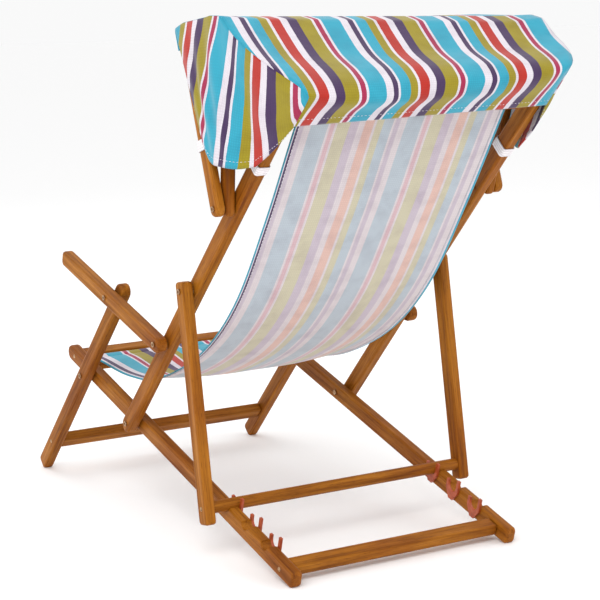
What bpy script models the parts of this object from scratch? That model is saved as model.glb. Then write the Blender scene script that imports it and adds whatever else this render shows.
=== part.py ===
"""Folding wooden deckchair with armrests, a striped sling and a sun canopy on two hoops.

Metres, +Z up. The sitter faces -Y and has +X on the left hand. The origin lies on the floor, below the
middle of the chair. A point of the side view is written (y, z).
"""

from math import atan2, cos, pi, radians, sin, sqrt

import bmesh
import bpy
from mathutils import Matrix, Vector

# --- Driving dimensions ----------------------------------------------------------------------------
BAR_THICKNESS = 0.022  # of the frame's bars, across the chair
BAR_WIDTH = 0.032  # of the frame's bars, in the side view
EDGE_ROUND = 0.0045
CLEAR_WIDTH = 0.452  # between the seat rails
LAYER_GAP = 0.004  # between bars that share a pivot, filled by a washer

SEAT_RISE = radians(16.0)  # of the seat rails, up towards the front
BACK_RISE = radians(46.0)  # of the back rails and front legs
PIVOT_SPACING = 0.223  # from the back pivot to the leg pivot, along the seat rail
ARM_PIVOT_REACH = 0.272  # from the back pivot to the armrest pivot
PROP_PIVOT_REACH = 0.435
HOOP_PIVOT_DROP = 0.299  # of the canopy hoops' pivot below the rail's top end
BACK_LENGTH = 0.970  # from the back pivot to the rail's top end
SEAT_REAR_REACH = 0.628  # from the back pivot to the rear end on the floor
SEAT_FRONT_REACH = 0.348
ARM_FRONT_REACH = 0.212  # beyond the leg pivot
ARM_REAR_REACH = 0.020
LEG_TOP_REACH = 0.031
BACK_BOTTOM_REACH = 0.020
ARM_CORNER = 0.010
END_ROUND = 0.008  # of the corners of a squarely cut bar end

PROP_LENGTH = 0.4057  # from its pivot to the dowel's axis
PROP_TOP_REACH = 0.018
PROP_BOTTOM_REACH = 0.031
DOWEL_RADIUS = 0.0118
DOWEL_RISE = 0.0007  # of its axis above the seat rail's top edge, in a notch
NOTCH_COUNT = 3
NOTCH_SPACING = 0.0728
CLIP_THICKNESS = 0.005
CLIP_PRONG_WIDTH = 0.0065
CLIP_FRONT_RISE = 0.008  # of a prong above the rail's top edge
CLIP_REAR_RISE = 0.018
CLIP_FOOT_INSET = 0.0025  # of the clip's lowest edge from the rail's bottom edge

BAR_END_INSET = 0.0355  # of the end crossbars' centres from the rails' ends
CROSS_BAR_PAIR_GAP = 0.008  # between the two bars that hold a sling end
REAR_BAR_INSET = 0.045
LEG_BAR_HEIGHT = 0.0716

HOOP_THICKNESS = 0.0175
HOOP_WIDTH = 0.029
HOOP_RAIL_GAP = 0.0015
HOOP_GAP = 0.002
HOOP_BOTTOM_REACH = 0.0145
FRONT_HOOP_LENGTH = 0.331
FRONT_HOOP_LEAN = radians(18.3)  # forward of upright
REAR_HOOP_LENGTH = 0.331
REAR_HOOP_LEAN = {"left": radians(-4.6), "right": radians(-19.3)}  # the hoop stands racked

SLING_EDGE_GAP = 0.004  # between the sling and each seat rail
SLING_SAG = 0.012  # of its middle below its edges
CLOTH_THICKNESS = 0.0015
ROD_RADIUS = 0.006
ELASTIC_THICKNESS = 0.0008
ELASTIC_WIDTH = 0.020

CANOPY_KINK_BEHIND = 0.036  # where the canopy turns down, behind the back rail's centreline
CANOPY_KINK_RISE = 0.040  # of that place beyond the rail's top end
CANOPY_KINK_SKEW = 0.011  # the right end stands this much higher, the left end lower
CANOPY_SKIRT = 0.056
CANOPY_VALANCE = 0.040
PANEL_FRONT_DROP = 0.215  # down the front hoop's arm to the elastic loop
PANEL_FRONT_SLACK = 0.016  # of the panel's corner behind that arm's centreline
PANEL_MIDDLE = Vector((0.055, 0.074))  # of the hem's middle from the hoops' pivot
PANEL_REAR_DROP = 0.170  # of the panel's rear corner below the rail's top end
RAIL_LOOP_DROP = 0.185  # of the elastic loop below the rail's top end

BOLT_RADIUS = 0.003
BOLT_HEAD_RADIUS = 0.0055
BOLT_HEAD_HEIGHT = 0.0025
SOCKET_RADIUS = 0.0026
SOCKET_DEPTH = 0.0018
WASHER_RADIUS = 0.009
SCREW_RADIUS = 0.002
SCREW_LENGTH = 0.045
SCREW_HEAD_RADIUS = 0.0045
SCREW_HEAD_HEIGHT = 0.001
ROUND_STEPS = 12

# --- Named clearances ------------------------------------------------------------------------------
TOUCH = 0.0003  # between pieces that touch
BORE_CLEARANCE = 0.0005
NOTCH_CLEARANCE = 0.0008
CLOTH_CLEARANCE = 0.0025

SIDES = {"left": 1, "right": -1}


# --- Side-view construction ------------------------------------------------------------------------
def side(angle, length=1.0):
    """A step of the side view: angle is measured from +Y, upwards."""
    return Vector((cos(angle), sin(angle))) * length


RAIL_REAR = side(-SEAT_RISE)
RAIL_UP = Vector((sin(SEAT_RISE), cos(SEAT_RISE)))
BACK_UP = side(BACK_RISE)
BACK_BEHIND = Vector((sin(BACK_RISE), -cos(BACK_RISE)))

# The seat rails' rear ends and the front legs' feet touch the floor with their rounded lower corners.
flat_half = BAR_WIDTH / 2 - END_ROUND
back_height = (SEAT_REAR_REACH - END_ROUND) * sin(SEAT_RISE) + flat_half * cos(SEAT_RISE) + END_ROUND
leg_height = back_height + PIVOT_SPACING * sin(SEAT_RISE)
foot_drop = leg_height - flat_half * cos(BACK_RISE) - END_ROUND
LEG_FOOT_REACH = foot_drop / sin(BACK_RISE) + END_ROUND

# Measured from the back pivot, so that the chair can then be centred over the origin.
front_extent = PIVOT_SPACING * cos(SEAT_RISE) + (LEG_FOOT_REACH - END_ROUND) * cos(BACK_RISE)
front_extent += flat_half * sin(BACK_RISE) + END_ROUND
CANOPY_KINK_REACH = BACK_LENGTH + CANOPY_KINK_RISE
rear_extent = CANOPY_KINK_REACH * cos(BACK_RISE) + CANOPY_KINK_BEHIND * sin(BACK_RISE)

BACK_PIVOT = Vector(((front_extent - rear_extent) / 2, back_height))
LEG_PIVOT = BACK_PIVOT - RAIL_REAR * PIVOT_SPACING
ARM_PIVOT = BACK_PIVOT + BACK_UP * ARM_PIVOT_REACH
ARM_LEG_PIVOT = LEG_PIVOT + BACK_UP * ARM_PIVOT_REACH
PROP_PIVOT = BACK_PIVOT + BACK_UP * PROP_PIVOT_REACH
HOOP_PIVOT = BACK_PIVOT + BACK_UP * (BACK_LENGTH - HOOP_PIVOT_DROP)

DOWEL_HEIGHT = BAR_WIDTH / 2 + DOWEL_RISE
prop_pivot_along = (PROP_PIVOT - BACK_PIVOT).dot(RAIL_REAR)
prop_drop = (PROP_PIVOT - BACK_PIVOT).dot(RAIL_UP) - DOWEL_HEIGHT
DOWEL_REACH = prop_pivot_along + sqrt(PROP_LENGTH**2 - prop_drop**2)
DOWEL = BACK_PIVOT + RAIL_REAR * DOWEL_REACH + RAIL_UP * DOWEL_HEIGHT

# Middle planes of the layers of bars, outwards from the seat rails.
LAYER_PITCH = BAR_THICKNESS + LAYER_GAP
RAIL_X = CLEAR_WIDTH / 2 + BAR_THICKNESS / 2
MIDDLE_X = RAIL_X + LAYER_PITCH
OUTER_X = MIDDLE_X + LAYER_PITCH
REAR_HOOP_X = MIDDLE_X + BAR_THICKNESS / 2 + HOOP_RAIL_GAP + HOOP_THICKNESS / 2
FRONT_HOOP_X = REAR_HOOP_X + HOOP_THICKNESS + HOOP_GAP
PANEL_X = FRONT_HOOP_X + HOOP_THICKNESS / 2 + CLOTH_CLEARANCE + CLOTH_THICKNESS / 2
CANOPY_KINK_X = MIDDLE_X + BAR_THICKNESS / 2 + CLOTH_CLEARANCE + CLOTH_THICKNESS / 3
PANEL_REAR_X = CANOPY_KINK_X + CLOTH_THICKNESS * 2 / 3
SLING_WIDTH = CLEAR_WIDTH - 2 * SLING_EDGE_GAP


def rail_point(reach, height=0.0):
    """A point of the seat frame: reach runs rearward from the back pivot, height is above the centreline."""
    return BACK_PIVOT + RAIL_REAR * reach + RAIL_UP * height


def back_point(reach, behind=0.0):
    """A point of the back frame: reach runs up from the back pivot, behind is off the centreline."""
    return BACK_PIVOT + BACK_UP * reach + BACK_BEHIND * behind


# --- Scene helpers ---------------------------------------------------------------------------------
def start():
    for obj in list(bpy.data.objects):
        bpy.data.objects.remove(obj, do_unlink=True)
    for name in ("folding_deckchair", "cutters"):
        collection = bpy.data.collections.new(name)
        bpy.context.scene.collection.children.link(collection)
    bpy.data.collections["cutters"].hide_render = True


def material(name, colour, roughness, metallic=0.0):
    made = bpy.data.materials.get(name)
    if made is None:
        made = bpy.data.materials.new(name)
        made.use_nodes = True
        shader = made.node_tree.nodes["Principled BSDF"]
        shader.inputs["Base Color"].default_value = (*colour, 1)
        shader.inputs["Roughness"].default_value = roughness
        shader.inputs["Metallic"].default_value = metallic
    return made


def wood():
    return material("oiled_hardwood", (0.33, 0.13, 0.034), 0.5)


def steel():
    return material("zinc_plated_steel", (0.60, 0.58, 0.52), 0.35, 1.0)


def clip_paint():
    return material("red_oxide_painted_steel", (0.50, 0.10, 0.03), 0.5)


def sling_cloth():
    return material("striped_sling_cotton", (0.60, 0.50, 0.50), 0.9)


def canopy_cloth():
    return material("striped_canopy_cotton", (0.30, 0.45, 0.45), 0.9)


def elastic():
    return material("white_elastic", (0.75, 0.75, 0.73), 0.85)


def add_object(name, mesh, surface=None, collection="folding_deckchair"):
    obj = bpy.data.objects.new(name, mesh)
    bpy.data.collections[collection].objects.link(obj)
    if surface:
        mesh.materials.append(surface)
    return obj


def mesh_object(name, shape, surface=None, collection="folding_deckchair"):
    mesh = bpy.data.meshes.new(name)
    shape.to_mesh(mesh)
    shape.free()
    return add_object(name, mesh, surface, collection)


def side_matrix(point, x, angle):
    """Puts a piece's own X along angle in the side view, its Y across that and its Z along world X."""
    turn = Matrix(((0, 0, 1), (cos(angle), -sin(angle), 0), (sin(angle), cos(angle), 0)))
    return Matrix.Translation((x, point.x, point.y)) @ turn.to_4x4()


def frame_origin(name, point):
    """An empty on a joint's axis, which the pieces of that body hang from."""
    empty = bpy.data.objects.new(name, None)
    bpy.data.collections["folding_deckchair"].objects.link(empty)
    empty.empty_display_size = 0.03
    empty.location = (0, point.x, point.y)
    return empty


def attach(obj, matrix, parent):
    obj.parent = parent
    obj.matrix_local = Matrix.Translation(-parent.location) @ matrix
    return obj


def round_edges(obj, width=EDGE_ROUND, segments=2):
    bevel = obj.modifiers.new("round_edges", "BEVEL")
    bevel.width = width
    bevel.segments = segments
    bevel.limit_method = "ANGLE"
    bevel.angle_limit = radians(35)


def cut(obj, cutter):
    boolean = obj.modifiers.new("cut", "BOOLEAN")
    boolean.operation = "DIFFERENCE"
    boolean.object = cutter


# --- Shapes ----------------------------------------------------------------------------------------
def corner(centre, start_angle, radius, steps=4):
    """Points of a quarter circle, or the corner itself when radius is zero."""
    if radius == 0:
        return [centre]
    turns = [start_angle + pi / 2 * step / steps for step in range(steps + 1)]
    return [centre + side(turn, radius) for turn in turns]


def bar_outline(behind, ahead, width, round_behind, round_ahead):
    """A bar's side outline along its own X, with its corners rounded by the two radii."""
    half = width / 2
    points = corner(Vector((-behind + round_behind, -half + round_behind)), pi, round_behind)
    points += corner(Vector((ahead - round_ahead, -half + round_ahead)), -pi / 2, round_ahead)
    points += corner(Vector((ahead - round_ahead, half - round_ahead)), 0, round_ahead)
    points += corner(Vector((-behind + round_behind, half - round_behind)), pi / 2, round_behind)
    return points


def flat_piece(name, outline, thickness, surface):
    """A flat piece cut from a closed outline, made a mesh with clean flat faces."""
    curve = bpy.data.curves.new(name, "CURVE")
    curve.dimensions = "2D"
    curve.fill_mode = "BOTH"
    curve.extrude = thickness / 2
    spline = curve.splines.new("POLY")
    spline.points.add(len(outline) - 1)
    for point, place in zip(spline.points, outline):
        point.co = (place.x, place.y, 0, 1)
    spline.use_cyclic_u = True
    guide = add_object(name + "_outline", curve)
    graph = bpy.context.evaluated_depsgraph_get()
    mesh = bpy.data.meshes.new_from_object(guide.evaluated_get(graph))
    bpy.data.objects.remove(guide)
    shape = bmesh.new()
    shape.from_mesh(mesh)
    bmesh.ops.remove_doubles(shape, verts=shape.verts, dist=1e-6)
    bmesh.ops.dissolve_limit(shape, angle_limit=radians(1), verts=shape.verts, edges=shape.edges)
    bmesh.ops.recalc_face_normals(shape, faces=shape.faces)
    shape.to_mesh(mesh)
    shape.free()
    return add_object(name, mesh, surface)


def wooden_bar(
    name, parent, point, x, angle, behind, ahead, round_behind=END_ROUND, round_ahead=END_ROUND
):
    """A frame bar through point, reaching behind and ahead of it along angle."""
    outline = bar_outline(behind, ahead, BAR_WIDTH, round_behind, round_ahead)
    obj = flat_piece(name, outline, BAR_THICKNESS, wood())
    attach(obj, side_matrix(point, x, angle), parent)
    round_edges(obj)
    return obj


def cross_bar(name, parent, point, angle, length, width=BAR_WIDTH, thickness=BAR_THICKNESS):
    """A bar across the chair; its width runs along angle in the side view."""
    shape = bmesh.new()
    bmesh.ops.create_cube(shape, size=1)
    bmesh.ops.scale(shape, vec=(width, thickness, length), verts=shape.verts)
    obj = mesh_object(name, shape, wood())
    attach(obj, side_matrix(point, 0, angle), parent)
    round_edges(obj)
    return obj


def rod(name, parent, point, length, radius, surface, steps=16):
    shape = bmesh.new()
    bmesh.ops.create_cone(
        shape, cap_ends=True, segments=steps, radius1=radius, radius2=radius, depth=length
    )
    obj = mesh_object(name, shape, surface)
    attach(obj, side_matrix(point, 0, 0), parent)
    smooth(obj)
    return obj


def smooth(obj):
    obj.data.shade_smooth()
    obj.data.set_sharp_from_angle(angle=radians(35))


def turned(name, profile, surface):
    """A body turned about its own Z from (radius, height) points, which run from the top down."""
    shape = bmesh.new()
    points = [shape.verts.new((radius, 0, height)) for radius, height in profile]
    for upper, lower in zip(points, points[1:]):
        shape.edges.new((upper, lower))
    obj = mesh_object(name, shape, surface)
    screw = obj.modifiers.new("turn", "SCREW")
    screw.steps = ROUND_STEPS
    screw.render_steps = ROUND_STEPS
    screw.use_merge_vertices = True
    screw.merge_threshold = 0.0001
    return obj


def bore(name, point, x, radius, length):
    """A cutter along X, centred on x."""
    shape = bmesh.new()
    bmesh.ops.create_cone(
        shape, cap_ends=True, segments=16, radius1=radius, radius2=radius, depth=length
    )
    obj = mesh_object(name, shape, collection="cutters")
    obj.matrix_world = side_matrix(point, x, 0)
    obj.hide_render = True
    obj.display_type = "WIRE"
    return obj


def pivot_bolt(name, parent, point, hand, layers, bars):
    """A bolt through the layers (inner face, outer face), with a washer in each gap, and its bores.

    The layers run from the innermost to the outermost, as distances from the chair's middle.
    """
    head_base = layers[-1][1] + TOUCH
    head_top = head_base + BOLT_HEAD_HEIGHT
    profile = [
        (0, head_top - SOCKET_DEPTH),
        (SOCKET_RADIUS, head_top - SOCKET_DEPTH),
        (SOCKET_RADIUS, head_top),
        (BOLT_HEAD_RADIUS, head_top),
        (BOLT_HEAD_RADIUS, head_base),
    ]
    for inner, outer in zip(reversed(layers[:-1]), reversed(layers[1:])):
        gap_top = outer[0] - TOUCH
        gap_foot = inner[1] + TOUCH
        profile += [(BOLT_RADIUS, head_base), (BOLT_RADIUS, gap_top), (WASHER_RADIUS, gap_top)]
        profile += [(WASHER_RADIUS, gap_foot), (BOLT_RADIUS, gap_foot)]
        head_base = gap_foot
    nut_top = layers[0][0] - TOUCH
    nut_foot = nut_top - BOLT_HEAD_HEIGHT
    profile += [(BOLT_RADIUS, nut_top), (BOLT_HEAD_RADIUS, nut_top), (BOLT_HEAD_RADIUS, nut_foot)]
    profile += [(0, nut_foot)]
    profile = [step for step, before in zip(profile, [None] + profile) if step != before]
    obj = turned(name, profile, steel())
    attach(obj, outward_matrix(point, 0, hand), parent)
    length = layers[-1][1] - layers[0][0] + 4 * BOLT_HEAD_HEIGHT
    middle = hand * (layers[-1][1] + layers[0][0]) / 2
    cutter = bore(name + "_bore", point, middle, BOLT_RADIUS + BORE_CLEARANCE, length)
    for bar in bars:
        cut(bar, cutter)
    return obj


def outward_matrix(point, x, hand):
    """Puts a turned piece's own Z along world X, pointing out of the chair on that side."""
    return Matrix.Translation((x, point.x, point.y)) @ Matrix.Rotation(hand * pi / 2, 4, "Y")


def wood_screw(name, parent, point, hand, face, bars):
    """A screw that goes in through the outer face at that distance from the middle, and its bore."""
    profile = [
        (0, TOUCH + SCREW_HEAD_HEIGHT),
        (SCREW_HEAD_RADIUS * 0.7, TOUCH + SCREW_HEAD_HEIGHT),
        (SCREW_HEAD_RADIUS, TOUCH),
        (SCREW_RADIUS, TOUCH),
        (SCREW_RADIUS, -SCREW_LENGTH + 2 * SCREW_RADIUS),
        (0, -SCREW_LENGTH),
    ]
    obj = turned(name, profile, steel())
    attach(obj, outward_matrix(point, hand * face, hand), parent)
    length = 2 * (SCREW_LENGTH + 2 * BORE_CLEARANCE)
    cutter = bore(name + "_bore", point, hand * face, SCREW_RADIUS + BORE_CLEARANCE, length)
    for bar in bars:
        cut(bar, cutter)
    return obj


# --- Seat frame ------------------------------------------------------------------------------------
def notch_reaches():
    return [DOWEL_REACH + index * NOTCH_SPACING for index in range(NOTCH_COUNT)]


def notch_cutter(name, reach, x):
    """A round-bottomed slot for the dowel, open at the rail's top edge."""
    radius = DOWEL_RADIUS + NOTCH_CLEARANCE
    outline = corner(Vector((0, 0)), pi, radius) + corner(Vector((0, 0)), -pi / 2, radius)
    outline += [Vector((radius, BAR_WIDTH)), Vector((-radius, BAR_WIDTH))]
    obj = flat_piece(name, without_repeats(outline), 2 * BAR_THICKNESS, None)
    bpy.data.collections["folding_deckchair"].objects.unlink(obj)
    bpy.data.collections["cutters"].objects.link(obj)
    obj.matrix_world = side_matrix(rail_point(reach, DOWEL_HEIGHT), x, -SEAT_RISE)
    obj.hide_render = True
    obj.display_type = "WIRE"
    return obj


def without_repeats(points):
    return [place for place, before in zip(points, points[-1:] + points) if (place - before).length > 1e-6]


def stop_clip(name, parent, reach, hand):
    """A U-shaped plate beside a notch, on the rail's inner face, with a short and a tall prong."""
    inner = DOWEL_RADIUS + NOTCH_CLEARANCE
    outer = inner + CLIP_PRONG_WIDTH
    rail_top = BAR_WIDTH / 2 - DOWEL_HEIGHT
    foot = CLIP_FOOT_INSET - BAR_WIDTH / 2 - DOWEL_HEIGHT
    front, rear = rail_top + CLIP_FRONT_RISE, rail_top + CLIP_REAR_RISE
    outline = [Vector((-outer, front)), Vector((-outer, foot / 3)), Vector((-outer / 3, foot))]
    outline += [Vector((outer / 3, foot)), Vector((outer, foot / 3)), Vector((outer, rear))]
    outline += [Vector((inner, rear)), *reversed(corner(Vector((0, 0)), -pi / 2, inner))]
    outline += [*reversed(corner(Vector((0, 0)), pi, inner)), Vector((-inner, front))]
    obj = flat_piece(name, without_repeats(outline), CLIP_THICKNESS, clip_paint())
    x = hand * (CLEAR_WIDTH / 2 - TOUCH - CLIP_THICKNESS / 2)
    return attach(obj, side_matrix(rail_point(reach, DOWEL_HEIGHT), x, -SEAT_RISE), parent)


def end_bar_reaches(end_reach):
    """Reaches of the outer and the inner bar of the pair that holds a sling end."""
    outer = end_reach - BAR_END_INSET
    return outer, outer - BAR_WIDTH - CROSS_BAR_PAIR_GAP


def seat_frame():
    """The seat rails, which also stand on the floor behind, their crossbars and the dowel's stops."""
    parent = frame_origin("seat_frame", Vector((0, 0)))
    between_rails = CLEAR_WIDTH - 2 * TOUCH
    front_reach, under_reach = end_bar_reaches(SEAT_FRONT_REACH)
    rear_reach = SEAT_REAR_REACH - REAR_BAR_INSET
    angle = -SEAT_RISE
    front_bar = cross_bar("seat_front_bar", parent, rail_point(-front_reach), angle, between_rails)
    cross_bar("seat_under_bar", parent, rail_point(-under_reach), angle, between_rails)
    rear_bar = cross_bar("rear_cross_bar", parent, rail_point(rear_reach), angle, between_rails)
    rails = {}
    for name, hand in SIDES.items():
        rail = wooden_bar(
            f"seat_rail_{name}", parent, BACK_PIVOT, hand * RAIL_X, angle,
            SEAT_FRONT_REACH, SEAT_REAR_REACH, round_behind=BAR_WIDTH / 2,
        )
        for index, reach in enumerate(notch_reaches(), 1):
            cut(rail, notch_cutter(f"notch_{name}_{index}", reach, hand * RAIL_X))
            stop_clip(f"stop_clip_{name}_{index}", parent, reach, hand)
        face = RAIL_X + BAR_THICKNESS / 2
        wood_screw(
            f"seat_front_screw_{name}", parent, rail_point(-front_reach), hand, face, [rail, front_bar]
        )
        wood_screw(
            f"rear_bar_screw_{name}", parent, rail_point(rear_reach), hand, face, [rail, rear_bar]
        )
        rails[name] = rail
    return parent, rails


# --- Back frame, front legs and armrests -----------------------------------------------------------
def back_frame():
    """The back rails and the pair of bars that holds the sling's top end."""
    parent = frame_origin("back_frame", BACK_PIVOT)
    between = 2 * (MIDDLE_X - BAR_THICKNESS / 2 - TOUCH)
    top_reach, under_reach = end_bar_reaches(BACK_LENGTH + BAR_END_INSET - BAR_WIDTH / 2)
    top_bar = cross_bar("back_top_bar", parent, back_point(top_reach), BACK_RISE, between)
    cross_bar("back_under_bar", parent, back_point(under_reach), BACK_RISE, between)
    rails = {}
    for name, hand in SIDES.items():
        rails[name] = wooden_bar(
            f"back_rail_{name}", parent, BACK_PIVOT, hand * MIDDLE_X, BACK_RISE,
            BACK_BOTTOM_REACH, BACK_LENGTH, round_behind=BAR_WIDTH / 2,
        )
        wood_screw(
            f"back_top_screw_{name}", parent, back_point(top_reach), hand,
            MIDDLE_X + BAR_THICKNESS / 2, [rails[name], top_bar],
        )
    return parent, rails


def front_legs():
    parent = frame_origin("front_leg_frame", LEG_PIVOT)
    bar_reach = (leg_height - LEG_BAR_HEIGHT) / sin(BACK_RISE)
    bar_point = LEG_PIVOT - BACK_UP * bar_reach
    between = 2 * (MIDDLE_X - BAR_THICKNESS / 2 - TOUCH)
    leg_bar = cross_bar("front_leg_bar", parent, bar_point, BACK_RISE, between)
    legs = {}
    for name, hand in SIDES.items():
        legs[name] = wooden_bar(
            f"front_leg_{name}", parent, LEG_PIVOT, hand * MIDDLE_X, BACK_RISE,
            LEG_FOOT_REACH, ARM_PIVOT_REACH + LEG_TOP_REACH, round_ahead=BAR_WIDTH / 2,
        )
        wood_screw(
            f"leg_bar_screw_{name}", parent, bar_point, hand,
            MIDDLE_X + BAR_THICKNESS / 2, [legs[name], leg_bar],
        )
    return parent, legs


def armrests():
    parents = {}
    arms = {}
    for name, hand in SIDES.items():
        parents[name] = frame_origin(f"armrest_frame_{name}", ARM_PIVOT)
        arms[name] = wooden_bar(
            f"armrest_{name}", parents[name], ARM_PIVOT, hand * OUTER_X, -SEAT_RISE,
            PIVOT_SPACING + ARM_FRONT_REACH, ARM_REAR_REACH,
            round_behind=ARM_CORNER, round_ahead=BAR_WIDTH / 2,
        )
    return parents, arms


def prop_frame():
    """The two prop legs and the dowel that stands in the seat rails' notches."""
    parent = frame_origin("prop_frame", PROP_PIVOT)
    step = DOWEL - PROP_PIVOT
    angle = atan2(step.y, step.x)
    inner_face = OUTER_X - BAR_THICKNESS / 2
    dowel = rod("prop_dowel", parent, DOWEL, 2 * (inner_face - TOUCH), DOWEL_RADIUS, wood())
    props = {}
    for name, hand in SIDES.items():
        props[name] = wooden_bar(
            f"prop_leg_{name}", parent, PROP_PIVOT, hand * OUTER_X, angle,
            PROP_TOP_REACH, PROP_LENGTH + PROP_BOTTOM_REACH,
        )
        wood_screw(
            f"dowel_screw_{name}", parent, DOWEL, hand,
            OUTER_X + BAR_THICKNESS / 2, [props[name], dowel],
        )
    return parent, props


# --- Canopy hoops ----------------------------------------------------------------------------------
def hoop_arm(name, parent, x, lean, length, round_foot):
    outline = bar_outline(HOOP_BOTTOM_REACH, length, HOOP_WIDTH, round_foot, 0.0)
    obj = flat_piece(name, outline, HOOP_THICKNESS, wood())
    attach(obj, side_matrix(HOOP_PIVOT, x, pi / 2 + lean), parent)
    round_edges(obj)
    return obj


def hoop_bar(name, parent, arm_x, leans, length):
    """The bar across a hoop's ends; each end follows the lean of its own arm."""
    shape = bmesh.new()
    bmesh.ops.create_cube(shape, size=1)
    reach = length - HOOP_WIDTH / 2
    for vert in shape.verts:
        hand = "left" if vert.co.x > 0 else "right"
        along = side(pi / 2 + leans[hand])
        across = Vector((-along.y, along.x))
        place = HOOP_PIVOT + along * (reach + vert.co.z * HOOP_THICKNESS)
        place += across * vert.co.y * -HOOP_WIDTH
        x = SIDES[hand] * (arm_x - HOOP_THICKNESS / 2 - TOUCH)
        vert.co = (x, place.x, place.y)
    bmesh.ops.recalc_face_normals(shape, faces=shape.faces)
    obj = mesh_object(name, shape, wood())
    attach(obj, Matrix.Identity(4), parent)
    round_edges(obj)
    return obj


def front_hoop():
    parent = frame_origin("canopy_front_hoop", HOOP_PIVOT)
    leans = dict.fromkeys(SIDES, FRONT_HOOP_LEAN)
    arms = {}
    for name, hand in SIDES.items():
        arms[name] = hoop_arm(
            f"canopy_front_arm_{name}", parent, hand * FRONT_HOOP_X, leans[name],
            FRONT_HOOP_LENGTH, HOOP_BOTTOM_REACH,
        )
    hoop_bar("canopy_front_bar", parent, FRONT_HOOP_X, leans, FRONT_HOOP_LENGTH)
    return parent, arms


def rear_hoop():
    parent = frame_origin("canopy_rear_hoop", HOOP_PIVOT)
    arms = {}
    for name, hand in SIDES.items():
        arms[name] = hoop_arm(
            f"canopy_rear_arm_{name}", parent, hand * REAR_HOOP_X, REAR_HOOP_LEAN[name],
            REAR_HOOP_LENGTH, END_ROUND,
        )
    hoop_bar("canopy_rear_bar", parent, REAR_HOOP_X, REAR_HOOP_LEAN, REAR_HOOP_LENGTH)
    return parent, arms


# --- Pivot bolts -----------------------------------------------------------------------------------
def layer(middle, thickness=BAR_THICKNESS):
    return middle - thickness / 2, middle + thickness / 2


def pivots(seat, back, legs, arms, prop, front, rear):
    """Every argument is (frame origins, bars by side)."""
    rail_layer = layer(RAIL_X)
    middle_layer = layer(MIDDLE_X)
    outer_layer = layer(OUTER_X)
    hoop_layers = [layer(REAR_HOOP_X, HOOP_THICKNESS), layer(FRONT_HOOP_X, HOOP_THICKNESS)]
    for name, hand in SIDES.items():
        rail, back_rail, leg, arm = seat[1][name], back[1][name], legs[1][name], arms[1][name]
        inner_pair = [rail_layer, middle_layer]
        outer_pair = [middle_layer, outer_layer]
        pivot_bolt(f"back_pivot_bolt_{name}", seat[0], BACK_PIVOT, hand, inner_pair, [rail, back_rail])
        pivot_bolt(f"leg_pivot_bolt_{name}", seat[0], LEG_PIVOT, hand, inner_pair, [rail, leg])
        pivot_bolt(f"arm_rear_bolt_{name}", back[0], ARM_PIVOT, hand, outer_pair, [back_rail, arm])
        pivot_bolt(f"arm_front_bolt_{name}", arms[0][name], ARM_LEG_PIVOT, hand, outer_pair, [leg, arm])
        prop_bars = [back_rail, prop[1][name]]
        pivot_bolt(f"prop_pivot_bolt_{name}", back[0], PROP_PIVOT, hand, outer_pair, prop_bars)
        hoop_bars = [back_rail, front[1][name], rear[1][name]]
        hoop_stack = [middle_layer, *hoop_layers]
        pivot_bolt(f"hoop_pivot_bolt_{name}", back[0], HOOP_PIVOT, hand, hoop_stack, hoop_bars)


# --- Cloth -----------------------------------------------------------------------------------------
def smooth_path(points, steps):
    """A Catmull-Rom curve through the points, with that many steps in each span."""
    ends = [2 * points[0] - points[1], *points, 2 * points[-1] - points[-2]]
    path = [points[0]]
    for before, first, last, after in zip(ends, ends[1:], ends[2:], ends[3:]):
        for step in range(1, steps + 1):
            t = step / steps
            path.append(
                0.5 * (
                    2 * first + (last - before) * t
                    + (2 * before - 5 * first + 4 * last - after) * t**2
                    + (3 * first - before - 3 * last + after) * t**3
                )
            )
    return path


def sling_path():
    """The sling's edge in the side view, from between the front bars to between the top bars."""
    front_reach, front_under = end_bar_reaches(SEAT_FRONT_REACH)
    top_reach, top_under = end_bar_reaches(BACK_LENGTH + BAR_END_INSET - BAR_WIDTH / 2)
    front_slot = -(front_reach + front_under) / 2
    top_slot = (top_reach + top_under) / 2
    over = BAR_THICKNESS / 2 + CLOTH_CLEARANCE + CLOTH_THICKNESS / 2
    hanging = [
        rail_point(-front_under + BAR_WIDTH / 2 - 0.004, over + 0.004),
        rail_point(-0.106, 0.0535),
        back_point(0.10, -0.037),
        back_point(0.31 * top_under, 0.039),
        back_point(0.51 * top_under, 0.060),
        back_point(0.74 * top_under, 0.030),
        back_point(top_under - BAR_WIDTH / 2, -over),
    ]
    path = [rail_point(front_slot, -BAR_THICKNESS / 2), rail_point(front_slot, over - 0.001)]
    path += smooth_path(hanging, 3)
    path += [back_point(top_slot, -over + 0.001), back_point(top_slot, BAR_THICKNESS / 2)]
    return path


def sheet(name, shape, surface, parent):
    """A closed cloth solid from an open surface."""
    obj = mesh_object(name, shape, surface)
    attach(obj, Matrix.Identity(4), parent)
    solid = obj.modifiers.new("thickness", "SOLIDIFY")
    solid.thickness = CLOTH_THICKNESS
    solid.offset = 0
    solid.use_even_offset = True
    smooth(obj)
    return obj


def grid(across, along):
    """An open grid of that many cells, with each vertex's two counters from 0 to 1 in x and y."""
    shape = bmesh.new()
    bmesh.ops.create_grid(shape, x_segments=across, y_segments=along, size=0.5)
    for vert in shape.verts:
        vert.co += Vector((0.5, 0.5, 0))
    return shape


def sling(parent):
    path = sling_path()
    shape = grid(6, len(path) - 1)
    for vert in shape.verts:
        place = path[round(vert.co.y * (len(path) - 1))]
        share = 2 * vert.co.x - 1
        hang = sin(pi * vert.co.y) * (1 - share**2)
        vert.co = (share * SLING_WIDTH / 2, place.x, place.y - SLING_SAG * hang)
    return sheet("sling", shape, sling_cloth(), parent)


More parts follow.
